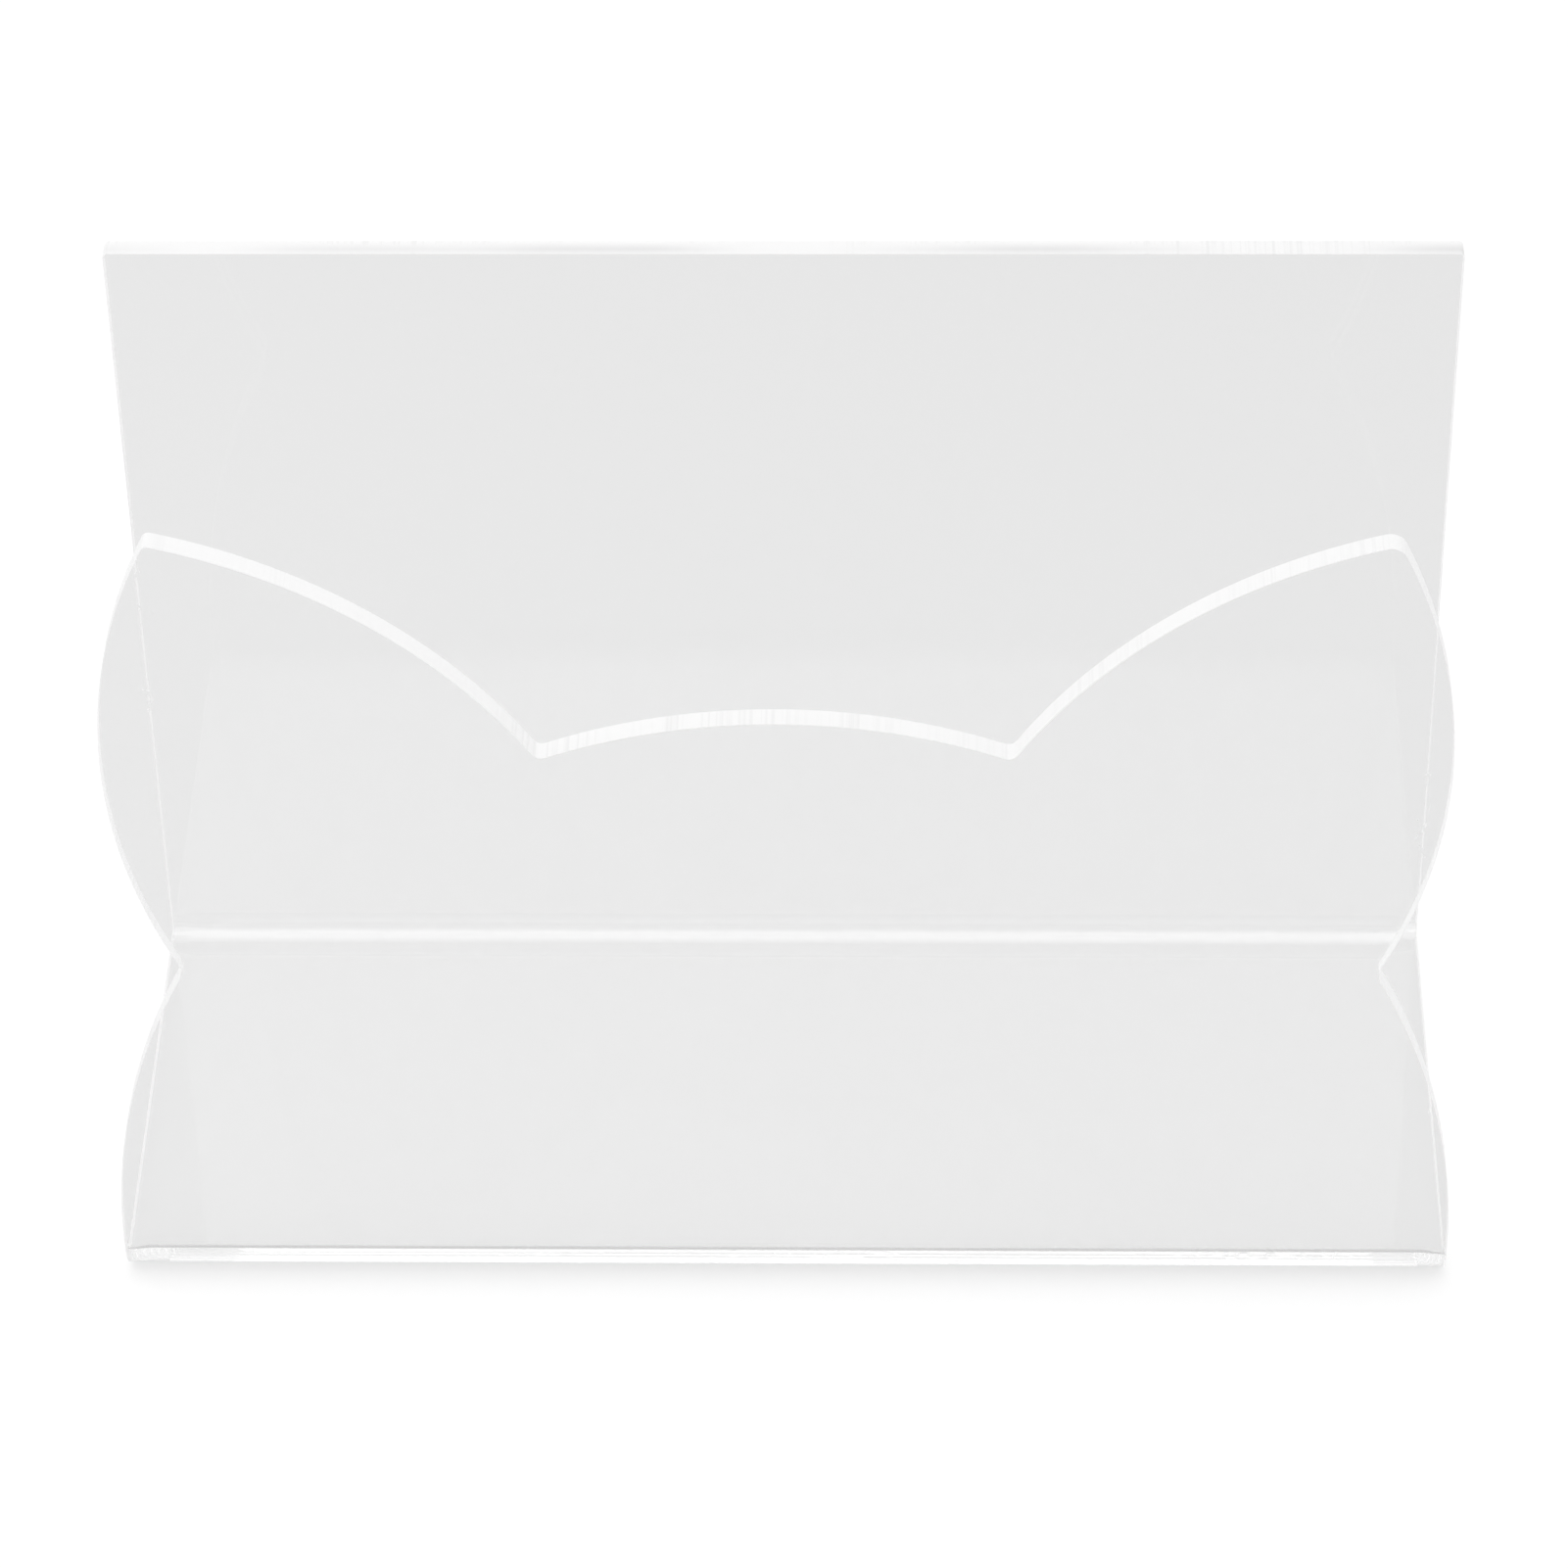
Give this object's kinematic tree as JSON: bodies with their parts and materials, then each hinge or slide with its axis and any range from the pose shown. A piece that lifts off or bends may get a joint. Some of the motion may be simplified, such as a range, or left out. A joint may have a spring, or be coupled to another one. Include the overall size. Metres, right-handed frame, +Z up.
{
  "type": "mail organizer",
  "caption": "Free-standing mail organizer of clear bent acrylic sheet: tall plain back, flat base and scalloped front with ears and side notches; letters stand in the open pocket.",
  "frame": {"origin": "on the surface it stands on, under the middle of the part", "axes": "+X along the walls, to the right seen from the front; +Y from the scalloped front wall to the tall back; +Z up"},
  "size_m": [0.241, 0.0944, 0.171],
  "materials": {
    "clear_acrylic": "clear, colourless and glossy, with smooth cut edges that show brighter than the faces"
  },
  "bodies": {
    "root": {"back_panel": "clear_acrylic", "rear_bend": "clear_acrylic", "base_panel": "clear_acrylic", "front_bend": "clear_acrylic", "front_panel": "clear_acrylic"}
  },
  "joints": []
}
